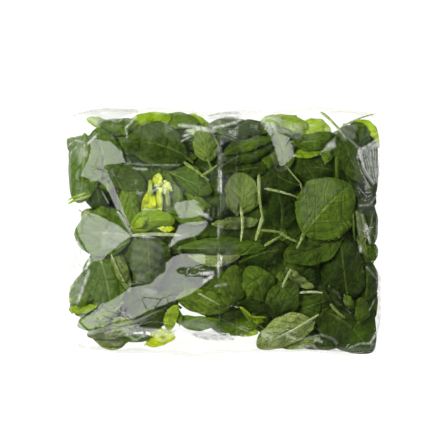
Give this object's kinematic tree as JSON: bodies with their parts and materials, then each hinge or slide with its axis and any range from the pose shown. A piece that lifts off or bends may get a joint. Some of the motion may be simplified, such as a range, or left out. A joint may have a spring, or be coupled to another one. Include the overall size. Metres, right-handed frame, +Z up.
{
  "type": "bag of spinach",
  "caption": "Clear sealed pillow bag full of loose young spinach leaves, lying flat, with crimped end seals and a lengthwise seam.",
  "frame": {"origin": "on the floor under the middle of the bag's outer box", "axes": "+X across the bag from its left fold to its right fold, +Y from the near end seal to the far one, +Z up out of the side with the lengthwise seam"},
  "size_m": [0.262, 0.205, 0.05],
  "materials": {
    "film": "clear glossy film, creased, over the leaves",
    "leaf": "satin leaf skin with veins and quilting",
    "stem": "smooth pale stem"
  },
  "bodies": {
    "root": {"bag": "film"}
  },
  "joints": []
}
